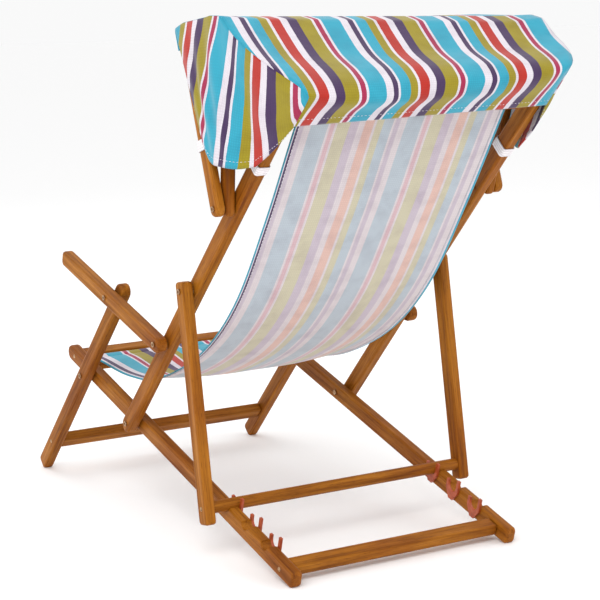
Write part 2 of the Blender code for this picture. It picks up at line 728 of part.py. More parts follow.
def hem_rods(seat_parent, back_parent):
    """The rods in the sling's end hems, which can't pull through between the paired bars."""
    front_reach, front_under = end_bar_reaches(SEAT_FRONT_REACH)
    top_reach, top_under = end_bar_reaches(BACK_LENGTH + BAR_END_INSET - BAR_WIDTH / 2)
    drop = BAR_THICKNESS / 2 + ROD_RADIUS + 3 * TOUCH
    front = rail_point(-(front_reach + front_under) / 2, -drop)
    top = back_point((top_reach + top_under) / 2, drop)
    rod("front_hem_rod", seat_parent, front, SLING_WIDTH, ROD_RADIUS, wood(), ROUND_STEPS)
    rod("top_hem_rod", back_parent, top, SLING_WIDTH, ROD_RADIUS, wood(), ROUND_STEPS)


def hoop_corner(lean, length, forward):
    """The point over a hoop bar where the cloth turns, just clear of the wood."""
    along = side(pi / 2 + lean)
    across = Vector((-along.y, along.x))
    clear = CLOTH_CLEARANCE + CLOTH_THICKNESS / 2
    return HOOP_PIVOT + along * (length + clear) + across * forward * (HOOP_WIDTH / 2 + clear)


def canopy_stations(hand):
    """The canopy's edge on one side: (x, y, z) from the front valance to the back skirt."""
    rear_lean = REAR_HOOP_LEAN["left" if hand > 0 else "right"]
    over_front = [hoop_corner(FRONT_HOOP_LEAN, FRONT_HOOP_LENGTH, end) for end in (1, -1)]
    over_rear = [hoop_corner(rear_lean, REAR_HOOP_LENGTH, end) for end in (1, -1)]
    kink = back_point(CANOPY_KINK_REACH, CANOPY_KINK_BEHIND) - Vector((0, hand * CANOPY_KINK_SKEW))
    places = [over_front[0] - side(pi / 2 + FRONT_HOOP_LEAN, CANOPY_VALANCE), *over_front, *over_rear]
    places += [kink, kink - BACK_UP * CANOPY_SKIRT]
    widths = [PANEL_X] * 5 + [CANOPY_KINK_X] * 2
    return [Vector((hand * x, place.x, place.y)) for x, place in zip(widths, places)]


def panel_hem(hand):
    """The lower corners of a side panel, below the two corners of each hoop and the kink."""
    arm = side(pi / 2 + FRONT_HOOP_LEAN)
    front = HOOP_PIVOT + arm * (FRONT_HOOP_LENGTH - PANEL_FRONT_DROP)
    front += Vector((arm.y, -arm.x)) * PANEL_FRONT_SLACK
    middle = HOOP_PIVOT + PANEL_MIDDLE
    rear = back_point(BACK_LENGTH - PANEL_REAR_DROP, -BAR_WIDTH / 2)
    middle_x = (PANEL_X + PANEL_REAR_X) / 2
    corners = [(PANEL_X + ELASTIC_THICKNESS, front), (PANEL_X, front.lerp(middle, 0.3))]
    corners += [(middle_x, middle), (middle_x, middle.lerp(rear, 0.5)), (PANEL_REAR_X, rear)]
    return [Vector((hand * x, place.x, place.y)) for x, place in corners]


def canopy(parent):
    """The top, back skirt and front valance as one sheet, with a side panel folded down at each edge."""
    left = canopy_stations(1)
    right = canopy_stations(-1)
    shape = grid(6, len(left) - 1)
    edges = {1: [], -1: []}
    for vert in shape.verts:
        share = vert.co.x
        station = round(vert.co.y * (len(left) - 1))
        if share < 0.001 or share > 0.999:
            edges[1 if share > 0.5 else -1].append((station, vert))
        vert.co = right[station].lerp(left[station], share)
    for hand, found in edges.items():
        upper = [vert for station, vert in sorted(found, key=lambda pair: pair[0])][1:-1]
        lower = [shape.verts.new(place) for place in panel_hem(hand)]
        for index in range(len(lower) - 1):
            shape.faces.new([upper[index], upper[index + 1], lower[index + 1], lower[index]])
    bmesh.ops.recalc_face_normals(shape, faces=shape.faces)
    return sheet("canopy", shape, canopy_cloth(), parent)


def elastic_loop(name, parent, matrix, width, thickness):
    """A flat band round a bar of that section, a touch clear of it."""
    inner = Vector((width / 2 + TOUCH, thickness / 2 + TOUCH))
    shape = bmesh.new()
    bmesh.ops.create_cube(shape, size=1)
    scale = 2 * (inner + Vector((ELASTIC_THICKNESS, ELASTIC_THICKNESS)))
    bmesh.ops.scale(shape, vec=(ELASTIC_WIDTH, scale.x, scale.y), verts=shape.verts)
    obj = mesh_object(name, shape, elastic())
    attach(obj, matrix, parent)
    shape = bmesh.new()
    bmesh.ops.create_cube(shape, size=1)
    bmesh.ops.scale(shape, vec=(2 * ELASTIC_WIDTH, 2 * inner.x, 2 * inner.y), verts=shape.verts)
    opening = mesh_object(name + "_opening", shape, collection="cutters")
    opening.matrix_world = matrix
    opening.hide_render = True
    opening.display_type = "WIRE"
    cut(obj, opening)
    return obj


def elastic_loops(front_parent, back_parent):
    lean = pi / 2 + FRONT_HOOP_LEAN
    arm_point = HOOP_PIVOT + side(lean, FRONT_HOOP_LENGTH - PANEL_FRONT_DROP)
    for name, hand in SIDES.items():
        at_arm = side_matrix(arm_point, hand * FRONT_HOOP_X, lean)
        elastic_loop(f"arm_elastic_{name}", front_parent, at_arm, HOOP_WIDTH, HOOP_THICKNESS)
        at_rail = side_matrix(back_point(BACK_LENGTH - RAIL_LOOP_DROP), hand * MIDDLE_X, BACK_RISE)
        elastic_loop(f"rail_elastic_{name}", back_parent, at_rail, BAR_WIDTH, BAR_THICKNESS)


def build():
    start()
    seat = seat_frame()
    back = back_frame()
    legs = front_legs()
    arms = armrests()
    prop = prop_frame()
    front = front_hoop()
    rear = rear_hoop()
    pivots(seat, back, legs, arms, prop, front, rear)
    sling(seat[0])
    hem_rods(seat[0], back[0])
    canopy(back[0])
    elastic_loops(front[0], back[0])


build()
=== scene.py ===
"""Looks of a folding deckchair: oiled hardwood bars, a striped cotton sling and a striped cotton canopy.

Metres, +Z up. The sitter faces -Y and has +X on the left hand. A side-view point is written (y, z).
"""

from math import cos, pi, radians, sin

import bpy
import numpy as np
from mathutils import Matrix, Vector, noise


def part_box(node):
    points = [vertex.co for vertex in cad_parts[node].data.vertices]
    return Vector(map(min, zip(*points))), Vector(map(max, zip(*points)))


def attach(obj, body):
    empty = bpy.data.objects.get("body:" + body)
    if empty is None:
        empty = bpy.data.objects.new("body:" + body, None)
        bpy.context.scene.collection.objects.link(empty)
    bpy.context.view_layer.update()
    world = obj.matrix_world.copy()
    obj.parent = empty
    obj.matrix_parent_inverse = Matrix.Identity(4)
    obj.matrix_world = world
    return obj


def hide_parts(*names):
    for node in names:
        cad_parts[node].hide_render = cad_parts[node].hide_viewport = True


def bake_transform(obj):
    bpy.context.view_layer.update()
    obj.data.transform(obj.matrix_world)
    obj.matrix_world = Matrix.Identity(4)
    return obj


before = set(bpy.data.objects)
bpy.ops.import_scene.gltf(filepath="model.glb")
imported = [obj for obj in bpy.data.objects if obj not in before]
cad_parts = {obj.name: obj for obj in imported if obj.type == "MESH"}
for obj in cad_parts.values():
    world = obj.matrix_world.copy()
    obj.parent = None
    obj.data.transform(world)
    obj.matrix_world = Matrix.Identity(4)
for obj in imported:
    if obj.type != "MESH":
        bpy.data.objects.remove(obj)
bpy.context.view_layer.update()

# --- Sizes that repeat the frame's own -------------------------------------------------------------
SEAT_RISE = radians(16.0)
BACK_RISE = radians(46.0)
BAR_THICKNESS = 0.022
BAR_WIDTH = 0.032
MIDDLE_X = 0.263
HOOP_WIDTH = 0.029
HOOP_THICKNESS = 0.0175
FRONT_HOOP_X = 0.30375
HOOP_LENGTH = 0.331
FRONT_LEAN = radians(18.3)
REAR_LEAN = {1: radians(-4.6), -1: radians(-19.3)}
CLOTH = 0.0012  # thickness
CLOTH_CLEAR = 0.00325  # from a hoop to the cloth over it
PANEL_X = 0.31575  # of the side panels
SLING_WIDTH = 0.444
ELASTIC_WIDTH = 0.020
SIDES = {"left": 1, "right": -1}


def side(angle, length=1.0):
    return Vector((cos(angle), sin(angle))) * length


def middle_of(node):
    low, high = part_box(node)
    return (low + high) / 2


def side_point(node):
    place = middle_of(node)
    return Vector((place.y, place.z))


BACK_PIVOT = side_point("back_pivot_bolt_left")
HOOP_PIVOT = side_point("hoop_pivot_bolt_left")
RAIL_REAR = side(-SEAT_RISE)
RAIL_UP = side(pi / 2 - SEAT_RISE)
BACK_UP = side(BACK_RISE)
BACK_BEHIND = side(BACK_RISE - pi / 2)


def rail_point(reach, height=0.0):
    return BACK_PIVOT + RAIL_REAR * reach + RAIL_UP * height


def back_point(reach, behind=0.0):
    return BACK_PIVOT + BACK_UP * reach + BACK_BEHIND * behind


# --- Materials -------------------------------------------------------------------------------------
MM = 0.001


def linear(code):
    """An sRGB hex colour as linear RGBA."""
    parts = [int(code[i : i + 2], 16) / 255 for i in (1, 3, 5)]
    return tuple(p / 12.92 if p <= 0.04045 else ((p + 0.055) / 1.055) ** 2.4 for p in parts) + (1.0,)


def new_material(name, roughness, metallic=0.0, **sockets):
    """A material with its shader; a value that is the same all over sits on the shader's own socket."""
    made = bpy.data.materials.new(name)
    made.use_nodes = True
    tree = made.node_tree
    shader = tree.nodes["Principled BSDF"]
    shader.inputs["Roughness"].default_value = roughness
    shader.inputs["Metallic"].default_value = metallic
    for socket, value in sockets.items():
        shader.inputs[socket.replace("_", " ")].default_value = value
    return made, tree, shader


def add(tree, kind, inputs=None, **settings):
    """Adds a node with its settings; an input is a value or the socket that feeds it."""
    node = tree.nodes.new("ShaderNode" + kind)
    for key, value in settings.items():
        setattr(node, key, value)
    for key, value in (inputs or {}).items():
        if isinstance(value, bpy.types.NodeSocket):
            tree.links.new(value, node.inputs[key])
        else:
            node.inputs[key].default_value = value
    return node


def wave_scale(spacing):
    """The Wave node's scale that draws straight bands this far apart, for bands along X or Y."""
    return 2 * pi / 20 / spacing


def ramp(tree, factor, stops, interpolation="LINEAR"):
    node = add(tree, "ValToRGB", {0: factor})
    node.color_ramp.interpolation = interpolation
    elements = node.color_ramp.elements
    while len(elements) < len(stops):
        elements.new(1.0)
    for element, (position, code) in zip(elements, stops):
        element.position = position
        element.color = linear(code)
    return node.outputs["Color"]


def mix(tree, factor, first, second, blend="MIX"):
    node = add(tree, "Mix", {0: factor, 6: first, 7: second}, data_type="RGBA", blend_type=blend)
    return node.outputs[2]


def oiled_hardwood(name, turn, shift):
    """Teak-coloured hardwood, planed and oiled: straight fibres, darker growth bands and short open pores.

    turn is the rotation that lays the fibres along the bar.
    """
    made, tree, shader = new_material(name, 0.45, Specular_IOR_Level=0.14)
    place = add(tree, "TexCoord").outputs["Object"]
    along = add(tree, "Mapping", {"Vector": place, "Location": shift, "Rotation": turn}).outputs[0]
    # Fibres run along local Y: growth bands about 6 mm wide and 300 mm long.
    bands = add(tree, "Mapping", {"Vector": along, "Scale": (1 / (12 * MM), 1 / (300 * MM), 1 / (12 * MM))})
    grown = add(
        tree, "TexNoise", {"Vector": bands.outputs[0], "Scale": 1.0, "Detail": 4.0, "Distortion": 0.6}
    )
    fine = add(tree, "Mapping", {"Vector": along, "Scale": (1 / (2.2 * MM), 1 / (70 * MM), 1 / (2.2 * MM))})
    fibre = add(tree, "TexNoise", {"Vector": fine.outputs[0], "Scale": 1.0, "Detail": 5.0, "Roughness": 0.62})
    pores = add(tree, "Mapping", {"Vector": along, "Scale": (1 / (1.2 * MM), 1 / (16 * MM), 1 / (1.2 * MM))})
    open_pore = add(tree, "TexNoise", {"Vector": pores.outputs[0], "Scale": 1.0, "Detail": 2.0})
    broad = add(tree, "TexNoise", {"Vector": along, "Scale": 1 / (170 * MM), "Detail": 2.0})
    colour = ramp(
        tree, grown.outputs["Fac"],
        [(0.28, "#7A460F"), (0.44, "#9A6014"), (0.60, "#AC6F1E"), (0.78, "#C08432")],
    )
    streak = ramp(tree, fibre.outputs["Fac"], [(0.30, "#A0713A"), (0.54, "#FFFFFF"), (1.0, "#FFFFFF")])
    colour = mix(tree, 0.55, colour, streak, "MULTIPLY")
    dark = ramp(tree, open_pore.outputs["Fac"], [(0.30, "#5A2E0E"), (0.40, "#FFFFFF"), (1.0, "#FFFFFF")])
    colour = mix(tree, 0.40, colour, dark, "MULTIPLY")
    patch = ramp(tree, broad.outputs["Fac"], [(0.32, "#D8B890"), (0.62, "#FFF8EC")])
    colour = mix(tree, 0.8, colour, patch, "MULTIPLY")
    tree.links.new(colour, shader.inputs["Base Color"])
    # Oil lies unevenly, so the harder growth bands shine a little more.
    sheen = add(tree, "MapRange", {0: grown.outputs["Fac"], 1: 0.3, 2: 0.7, 3: 0.58, 4: 0.42}).outputs[0]
    tree.links.new(sheen, shader.inputs["Roughness"])
    grooves = add(tree, "Math", {0: fibre.outputs["Fac"], 1: open_pore.outputs["Fac"]}, operation="ADD")
    bump = add(tree, "Bump", {"Strength": 0.35, "Distance": 0.4 * MM, "Height": grooves.outputs[0]})
    tree.links.new(bump.outputs[0], shader.inputs["Normal"])
    return made


# Widths in mm and dyes of one repeat of the woven stripes.
STRIPES = (
    (18, "red"), (14, "white"), (18, "purple"), (26, "olive"), (5, "white"), (9, "magenta"), (5, "white"),
    (35, "aqua"), (14, "white"), (10, "purple"), (5, "white"), (20, "aqua"), (15, "olive"), (6, "white"),
)
REPEAT = sum(width for width, _ in STRIPES) * MM
FACE_DYES = {
    "red": "#B4281B", "white": "#DCD6DD", "purple": "#442D56", "olive": "#998A18",
    "magenta": "#A3254C", "aqua": "#2CA0B9",
}
BACK_DYES = {
    "red": "#DDBAAE", "white": "#D8CFD1", "purple": "#C6BAC5", "olive": "#CBC5AA",
    "magenta": "#D5B5BA", "aqua": "#B7C2CA",
}


def striped_cotton(name, dyes, start, weave_shade):
    """Plain-woven cotton canvas with dyed warp stripes: matt, with a faint fuzz and uneven dye.

    The UV map is in metres, with U across the stripes. start is where the first repeat begins. weave_shade is
    how strongly painted shade darkens the hollows between the threads.
    """
    made, tree, shader = new_material(
        name, 0.88, Sheen_Weight=0.25, Sheen_Roughness=0.5, Specular_IOR_Level=0.25,
    )
    uv = add(tree, "UVMap", uv_map="cloth").outputs[0]
    # Threads wander a little, so a stripe's edge is never ruled.
    wander = add(tree, "TexNoise", {"Vector": uv, "Scale": 1 / (9 * MM), "Detail": 3.0})
    offset = add(tree, "Math", {0: wander.outputs["Fac"], 1: 1.1 * MM, 2: start}, operation="MULTIPLY_ADD")
    split = add(tree, "SeparateXYZ", {0: uv})
    across = add(tree, "Math", {0: split.outputs["X"], 1: offset.outputs[0]}, operation="ADD")
    share = add(tree, "Math", {0: across.outputs[0], 1: REPEAT}, operation="DIVIDE")
    share = add(tree, "Math", {0: share.outputs[0]}, operation="FRACT")
    stops, reached = [], 0.0
    for width, dye in STRIPES:
        stops.append((reached / REPEAT, dyes[dye]))
        reached += width * MM
    colour = ramp(tree, share.outputs[0], stops, "CONSTANT")
    # Real threads are 0.6 mm apart; they are drawn 4 mm apart, because finer ones wouldn't show.
    threads = {"Vector": uv, "Scale": wave_scale(4 * MM), "Distortion": 1.5, "Detail": 1.0}
    weft = add(tree, "TexWave", threads, wave_type="BANDS", bands_direction="X")
    warp = add(tree, "TexWave", threads, wave_type="BANDS", bands_direction="Y")
    woven = {0: weft.outputs["Fac"], 1: warp.outputs["Fac"]}
    weave = add(tree, "Math", woven, operation="MULTIPLY").outputs[0]
    # Painted shade: the hollows between the threads are drawn darker in the colour, by the share weave_shade.
    thread = ramp(tree, weave, [(0.0, "#D8D3D8"), (0.7, "#FFFFFF")])
    colour = mix(tree, weave_shade, colour, thread, "MULTIPLY")
    slub = add(tree, "TexNoise", {"Vector": uv, "Scale": 1 / (45 * MM), "Detail": 6.0, "Roughness": 0.6})
    faded = ramp(tree, slub.outputs["Fac"], [(0.25, "#DAD4DA"), (0.55, "#FFFFFF")])
    colour = mix(tree, 0.6, colour, faded, "MULTIPLY")
    tree.links.new(colour, shader.inputs["Base Color"])
    crease = add(tree, "TexNoise", {"Vector": uv, "Scale": 1 / (60 * MM), "Detail": 3.0})
    soft = add(tree, "Bump", {"Strength": 0.35, "Distance": 5 * MM, "Height": crease.outputs["Fac"]})
    bump = add(
        tree, "Bump", {"Strength": 0.3, "Distance": 0.3 * MM, "Height": weave, "Normal": soft.outputs[0]}
    )
    tree.links.new(bump.outputs[0], shader.inputs["Normal"])
    return made


def sewing_thread():
    """Twisted polyester thread: pale, slightly glossy, with its ply drawn as bands 6 mm apart."""
    made, tree, shader = new_material("polyester_sewing_thread", 0.55)
    place = add(tree, "TexCoord").outputs["Object"]
    # Diagonal bands stand twice as far apart along an axis as the scale says.
    ply = add(tree, "TexWave", {"Vector": place, "Scale": wave_scale(3 * MM), "Distortion": 0.5},
              wave_type="BANDS", bands_direction="DIAGONAL")
    colour = ramp(tree, ply.outputs["Fac"], [(0.0, "#CFC8CF"), (1.0, "#F4F0F3")])
    tree.links.new(colour, shader.inputs["Base Color"])
    return made


def knitted_elastic():
    """Flat knitted elastic: white ribs 5 mm apart along the band, matt and slightly fuzzy."""
    made, tree, shader = new_material("knitted_white_elastic", 0.85, Sheen_Weight=0.3)
    uv = add(tree, "UVMap", uv_map="cloth").outputs[0]
    ribs = add(tree, "TexWave", {"Vector": uv, "Scale": wave_scale(5 * MM), "Distortion": 0.8},
               wave_type="BANDS", bands_direction="X")
    soil = add(tree, "TexNoise", {"Vector": uv, "Scale": 1 / (12 * MM), "Detail": 4.0})
    colour = ramp(tree, ribs.outputs["Fac"], [(0.0, "#D9D2D6"), (0.6, "#F4F0F2")])
    soiled = ramp(tree, soil.outputs["Fac"], [(0.3, "#E2DADF"), (0.6, "#FFFFFF")])
    colour = mix(tree, 0.5, colour, soiled, "MULTIPLY")
    tree.links.new(colour, shader.inputs["Base Color"])
    bump = add(tree, "Bump", {"Strength": 0.6, "Distance": 0.5 * MM, "Height": ribs.outputs["Fac"]})
    tree.links.new(bump.outputs[0], shader.inputs["Normal"])
    return made


def red_oxide_paint():
    """Steel plate in red oxide paint: an even coat with orange peel and slightly darker, rubbed patches."""
    made, tree, shader = new_material("red_oxide_painted_steel", 0.45, Coat_Weight=0.2, Coat_Roughness=0.3)
    place = add(tree, "TexCoord").outputs["Object"]
    patch = add(tree, "TexNoise", {"Vector": place, "Scale": 1 / (9 * MM), "Detail": 5.0})
    peel = add(tree, "TexNoise", {"Vector": place, "Scale": 1 / (1.2 * MM), "Detail": 1.0})
    colour = ramp(tree, patch.outputs["Fac"], [(0.3, "#8E3614"), (0.5, "#A9461C"), (0.75, "#B85426")])
    tree.links.new(colour, shader.inputs["Base Color"])
    rough = add(tree, "MapRange", {0: patch.outputs["Fac"], 1: 0.3, 2: 0.7, 3: 0.55, 4: 0.38}).outputs[0]
    tree.links.new(rough, shader.inputs["Roughness"])
    bump = add(tree, "Bump", {"Strength": 0.25, "Distance": 0.2 * MM, "Height": peel.outputs["Fac"]})
    tree.links.new(bump.outputs[0], shader.inputs["Normal"])
    return made


def yellow_zinc():
    """Zinc-plated steel with a yellow passivate: a warm, slightly blotchy metal with fine turning marks."""
    made, tree, shader = new_material("yellow_zinc_plated_steel", 0.32, 1.0)
    place = add(tree, "TexCoord").outputs["Object"]
    blotch = add(tree, "TexNoise", {"Vector": place, "Scale": 1 / (3 * MM), "Detail": 4.0})
    colour = ramp(tree, blotch.outputs["Fac"], [(0.3, "#80664A"), (0.5, "#B08C68"), (0.75, "#CDAF90")])
    tree.links.new(colour, shader.inputs["Base Color"])
    rough = add(tree, "MapRange", {0: blotch.outputs["Fac"], 1: 0.3, 2: 0.7, 3: 0.45, 4: 0.25}).outputs[0]
    tree.links.new(rough, shader.inputs["Roughness"])
    marks = add(tree, "TexNoise", {"Vector": place, "Scale": 1 / (0.4 * MM), "Detail": 2.0})
    bump = add(tree, "Bump", {"Strength": 0.15, "Distance": 0.1 * MM, "Height": marks.outputs["Fac"]})
    tree.links.new(bump.outputs[0], shader.inputs["Normal"])
    return made


def finish_nodes():
    """Gives every node of the frame its finish, with the wood's fibres laid along each bar."""
    zinc = yellow_zinc()
    paint = red_oxide_paint()
    prop_foot = side_point("prop_dowel")
    prop_lean = prop_foot - side_point("prop_pivot_bolt_left")
    prop_angle = np.arctan2(prop_lean.y, prop_lean.x)
    slopes = {
        "seat_rail": -SEAT_RISE, "armrest": -SEAT_RISE, "back_rail": BACK_RISE, "front_leg": BACK_RISE,
        "prop_leg": prop_angle, "canopy_front_arm": pi / 2 + FRONT_LEAN,
        "canopy_rear_arm_left": pi / 2 + REAR_LEAN[1], "canopy_rear_arm_right": pi / 2 + REAR_LEAN[-1],
    }
    for index, (name, node) in enumerate(sorted(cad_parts.items())):
        if "bolt" in name or "screw" in name:
            surface = zinc
        elif "clip" in name:
            surface = paint
        else:
            found = [slope for stem, slope in slopes.items() if name.startswith(stem) and "bar" not in name]
            turn = (-found[0], 0, 0) if found else (0, 0, pi / 2)
            shift = (0.37 * (index % 7), 0.53 * (index % 11), 0.29 * (index % 5))
            surface = oiled_hardwood("oiled_hardwood_" + name, turn, shift)
        node.data.materials.clear()
        node.data.materials.append(surface)
        for polygon in node.data.polygons:
            polygon.material_index = 0


# --- Cloth -----------------------------------------------------------------------------------------
def spread(points, steps):
    """A Catmull-Rom curve through the points, with that many steps in each span."""
    points = [np.array(p, float) for p in points]
    ends = [2 * points[0] - points[1], *points, 2 * points[-1] - points[-2]]
    path = [points[0]]
    for before, first, last, after in zip(ends, ends[1:], ends[2:], ends[3:]):
        for step in range(1, steps + 1):
            t = step / steps
            path.append(0.5 * (
                2 * first + (last - before) * t
                + (2 * before - 5 * first + 4 * last - after) * t**2
                + (3 * first - before - 3 * last + after) * t**3
            ))
    return np.array(path)


def measured(path):
    """The distance along a path at each of its points."""
    return np.concatenate([[0], np.cumsum(np.linalg.norm(np.diff(path, axis=0), axis=1))])


def resampled(path, count):
    """The same path with evenly spaced points."""
    path = np.array(path, float)
    reached = measured(path)
    wanted = np.linspace(0, reached[-1], count)
    return np.stack([np.interp(wanted, reached, path[:, axis]) for axis in range(path.shape[1])], 1)


def rounded(path, count, passes):
    """Evenly spaced points with the corners eased and the two ends kept."""
    path = resampled(path, count)
    for _ in range(passes):
        path[1:-1] = (path[:-2] + 2 * path[1:-1] + path[2:]) / 4
    return path


def normals_of(points):
    """Unit normals of a grid of points."""
    first = np.gradient(points, axis=0)
    second = np.gradient(points, axis=1)
    found = np.cross(first, second)
    return found / np.maximum(np.linalg.norm(found, axis=2, keepdims=True), 1e-9)


def cloth_piece(name, points, uv, materials, thickness=CLOTH, closed=False):
    """A sheet from a grid of points with UVs in metres, given the cloth's thickness evenly about it."""
    rows, columns = points.shape[:2]
    faces, wraps = [], columns if closed else columns - 1
    for i in range(rows - 1):
        for j in range(wraps):
            k = (j + 1) % columns
            faces.append((i * columns + j, i * columns + k, (i + 1) * columns + k, (i + 1) * columns + j))
    mesh = bpy.data.meshes.new(name)
    mesh.from_pydata(points.reshape(-1, 3).tolist(), [], faces)
    layer = mesh.uv_layers.new(name="cloth")
    flat = uv.reshape(-1, 2)
    for loop in mesh.loops:
        layer.data[loop.index].uv = flat[loop.vertex_index]
    for surface in materials:
        mesh.materials.append(surface)
    mesh.shade_smooth()
    obj = bpy.data.objects.new(name, mesh)
    bpy.context.scene.collection.objects.link(obj)
    solid = obj.modifiers.new("thickness", "SOLIDIFY")
    solid.thickness = thickness
    solid.offset = 0
    solid.material_offset = 1 if len(materials) > 1 else 0
    return obj


def stitches(name, path, outward, surface, pitch=0.0075, length=0.0048, radius=0.0004):
    """A row of sewn stitches: short raised dashes that dip into the cloth at both ends."""
    reached = measured(path)
    count = int(reached[-1] / pitch)
    verts, faces = [], []
    for index in range(count):
        middle = (index + 0.5) * reached[-1] / count
        ends = []
        for shift in (-0.5, -0.25, 0.0, 0.25, 0.5):
            at = middle + shift * length
            place = np.array([np.interp(at, reached, path[:, axis]) for axis in range(3)])
            rise = np.array([np.interp(at, reached, outward[:, axis]) for axis in range(3)])
            ends.append((place, rise / np.linalg.norm(rise), 1 - (2 * shift) ** 2))
        run = ends[-1][0] - ends[0][0]
        run /= np.linalg.norm(run)
        first = len(verts)
        for place, rise, swell in ends:
            across = np.cross(run, rise)
            centre = place + rise * radius * (1.6 * swell - 0.9)
            for turn in range(6):
                angle = turn * pi / 3
                width = radius * (0.45 + 0.55 * swell)
                verts.append(centre + (across * cos(angle) + rise * sin(angle)) * width)
        for ring in range(4):
            for turn in range(6):
                a, b = first + ring * 6 + turn, first + ring * 6 + (turn + 1) % 6
                faces.append((a, b, b + 6, a + 6))
        faces.append([first + turn for turn in range(5, -1, -1)])
        faces.append([first + 24 + turn for turn in range(6)])
    mesh = bpy.data.meshes.new(name)
    mesh.from_pydata([list(v) for v in verts], [], faces)
    mesh.materials.append(surface)
    mesh.shade_smooth()
    obj = bpy.data.objects.new(name, mesh)
    bpy.context.scene.collection.objects.link(obj)
    return obj


def sling_edge():
    """The sling's edge in the side view, from the front slot over the bars to the top slot."""
    front = (side_point("seat_front_bar") + side_point("seat_under_bar")) / 2
    top = (side_point("back_top_bar") + side_point("back_under_bar")) / 2
    front_reach = (front - BACK_PIVOT).dot(RAIL_REAR)
    top_reach = (top - BACK_PIVOT).dot(BACK_UP)
    under = top_reach - 0.020
    over = BAR_THICKNESS / 2 + 0.0016
    hanging = [
        rail_point(front_reach + 0.016 + 0.0145, over + 0.0005),
        rail_point(front_reach + 0.020 + BAR_WIDTH / 2 - 0.004, over + 0.003),
        rail_point(-0.106, 0.0535),
        back_point(0.10, -0.037),
        back_point(0.31 * under, 0.039),
        back_point(0.51 * under, 0.060),
        back_point(0.74 * under, 0.030),
        back_point(under - BAR_WIDTH / 2, -over - 0.001),
        back_point(under, -over - 0.0005),
    ]
    path = [rail_point(front_reach, -BAR_THICKNESS / 2 - 0.0006), rail_point(front_reach, over - 0.003)]
    path += [rail_point(front_reach + 0.0028, over), *[Vector(p) for p in spread(hanging, 14)]]
    path += [back_point(top_reach - 0.0028, -over), back_point(top_reach, -over + 0.003)]
    path += [back_point(top_reach, BAR_THICKNESS / 2 + 0.0006)]
    return np.array([tuple(p) for p in path])


SLING_CELLS = 40
SLING_ROWS = 210
SLING_SAG = 0.013
HEM = 0.010


def sling(face, back, thread):
    edge = rounded(sling_edge(), SLING_ROWS, 2)
    reached = measured(edge)
    length = reached[-1]
    share = np.linspace(-1, 1, SLING_CELLS + 1)
    points = np.zeros((SLING_ROWS, SLING_CELLS + 1, 3))
    uv = np.zeros((SLING_ROWS, SLING_CELLS + 1, 2))
    for i, (y, z) in enumerate(edge):
        slack = min(1.0, max(0.0, (reached[i] - 0.07) / 0.12), max(0.0, (length - 0.09 - reached[i]) / 0.2))
        slack = slack * slack * (3 - 2 * slack)
        for j, s in enumerate(share):
            ripple = noise.noise(Vector((s * 1.6, reached[i] * 3.1, 4.7))) * 0.0035 * (1 - s * s)
            # The free edges curl down a little and draw in where the seat is lowest.
            curl = 0.0035 * max(0.0, abs(s) - 0.9) / 0.1
            sag = slack * (SLING_SAG * (1 - s * s) + ripple + curl)
            x = s * SLING_WIDTH / 2 * (1 - 0.010 * slack * sin(pi * i / (SLING_ROWS - 1)))
            points[i, j] = (x, y, z - sag)
            uv[i, j] = (SLING_WIDTH * (s + 1) / 2, reached[i])
    made = [cloth_piece("sling_cloth", points, uv, [face, back])]
    normal = normals_of(points)
    low = normal * np.sign(normal[SLING_ROWS // 2, SLING_CELLS // 2, 2]) * -1
    for name, hand in SIDES.items():
        # The long edges are folded under once and sewn, so the face shows on the fold.
        columns = points[:, -3:] if hand > 0 else points[:, :3]
        under = low[:, -3:] if hand > 0 else low[:, :3]
        uvs = (uv[:, -3:] if hand > 0 else uv[:, :3]).copy()
        strip = columns + under * 0.0013
        span = strip[:, 2] - strip[:, 0]
        turned_in = span / np.linalg.norm(span, axis=1, keepdims=True) * HEM
        if hand > 0:
            strip[:, 0] = strip[:, 2] - turned_in
        else:
            strip[:, 2] = strip[:, 0] + turned_in
        strip[:, 1] = (strip[:, 0] + strip[:, 2]) / 2
        inside = slice(12, -12)
        hem = cloth_piece(f"sling_hem_{name}", strip[inside], uvs[inside], [face], 0.0010)
        line = strip[inside, 0 if hand > 0 else 2] * 0.8 + strip[inside, 2 if hand > 0 else 0] * 0.2
        seam = stitches(f"sling_stitches_{name}", line + under[inside, 1] * 0.0004, under[inside, 1], thread)
        upper = line - under[inside, 1] * 0.0019
        seam_top = stitches(f"sling_top_stitches_{name}", upper, -under[inside, 1], thread)
        made += [hem, seam, seam_top]
    return made, length


def pocket(name, rod_node, face):
    """The tube of cloth that a sling end makes round its rod."""
    place = middle_of(rod_node)
    columns, rows = 24, 41
    points = np.zeros((rows, columns, 3))
    uv = np.zeros((rows, columns, 2))
    for i in range(rows):
        x = SLING_WIDTH / 2 * (2 * i / (rows - 1) - 1)
        for j in range(columns):
            angle = 2 * pi * j / columns
            radius = 0.00645 + 0.0002 * noise.noise(Vector((x * 20, angle, 0)))
            points[i, j] = (x, place.y + radius * cos(angle), place.z + radius * sin(angle))
            uv[i, j] = (x + SLING_WIDTH / 2, radius * angle)
    return cloth_piece(name, points, uv, [face], 0.0006, closed=True)


KINK_X = 0.2690  # half width where the canopy turns down behind the back rails
KINK_REACH, KINK_BEHIND = 1.010, 0.036  # that turn, along the back rail and behind it
KINK_SKEW = 0.011  # its right end stands this much higher, its left end lower
SKIRT = {1: 0.074, -1: 0.092}  # below that turn, on the left and on the right
VALANCE = 0.040
STRIPE_SPREAD = 0.985  # of the stripes, across the canopy
STRIPE_LEAN = 0.034  # of the stripes to one side, over the skirt
PANEL_STRIPE_SPREAD = 0.84
PANEL_STRIPE_LEAN = 0.28  # per metre of height
PANEL_DROP = 0.218  # of the side panel's front corner, down the front arm
TOP_CELLS = 56
FRONT_ROWS = (10, 8, 24, 8)
REAR_ROWS = 80
TOP_ROWS = sum(FRONT_ROWS) + REAR_ROWS + 1
PANEL_ROWS = 40


